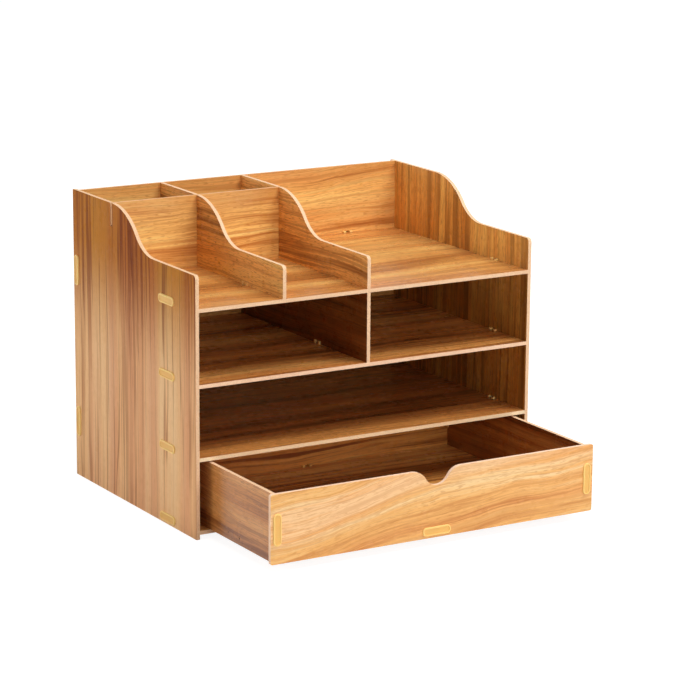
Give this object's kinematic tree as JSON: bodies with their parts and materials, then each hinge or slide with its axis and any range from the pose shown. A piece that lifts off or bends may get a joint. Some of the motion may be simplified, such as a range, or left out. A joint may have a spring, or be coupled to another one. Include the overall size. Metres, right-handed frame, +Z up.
{
  "type": "envelope sorter with drawer",
  "caption": "Wooden desk organizer with open trays, tall pockets, side-by-side paper bays, a wide bay and a drawer with a finger notch.",
  "frame": {"origin": "on the floor, under the middle of the whole organizer as it stands at rest with its drawer part way out: midway between the outer faces of the connectors on the two side panels, and midway between the drawer's front connectors and the rear edges of the side panels", "axes": "+X to the right as seen from the front, +Y to the rear, +Z up. The drawer slides along Y."},
  "size_m": [0.3424, 0.3522, 0.267],
  "materials": {
    "side_wood": "satin lacquer, vertical grain",
    "shelf_wood": "satin lacquer, grain across the carcass",
    "back_wood": "satin lacquer, level grain",
    "divider_wood": "satin lacquer, grain front to rear",
    "drawer_front_wood": "satin lacquer, wavy level grain",
    "drawer_wood": "satin lacquer, grain along each board",
    "connector_plastic": "matte",
    "pin_steel": "dull bare steel"
  },
  "bodies": {
    "carcass": {"left_side_panel": "side_wood", "right_side_panel": "side_wood", "back_panel": "back_wood", "base_panel": "shelf_wood", "lower_shelf": "shelf_wood", "middle_shelf": "shelf_wood", "top_shelf": "shelf_wood", "bay_divider": "divider_wood", "tray_divider": "divider_wood", "pocket_divider": "divider_wood", "pocket_board": "back_wood", "left_side_connectors": "connector_plastic", "right_side_connectors": "connector_plastic", "back_connectors": "connector_plastic", "divider_connectors": "connector_plastic"},
    "drawer": {"drawer_front": "drawer_front_wood", "drawer_back": "drawer_wood", "drawer_left_side": "drawer_wood", "drawer_right_side": "drawer_wood", "drawer_bottom": "drawer_wood", "drawer_front_connectors": "connector_plastic", "drawer_back_connectors": "connector_plastic", "drawer_pins": "pin_steel"}
  },
  "joints": [
    {"name": "drawer_slide", "type": "slide", "parent": "carcass", "child": "drawer", "axis": [0, -1, 0], "range_m": [-0.114, 0.06]}
  ]
}
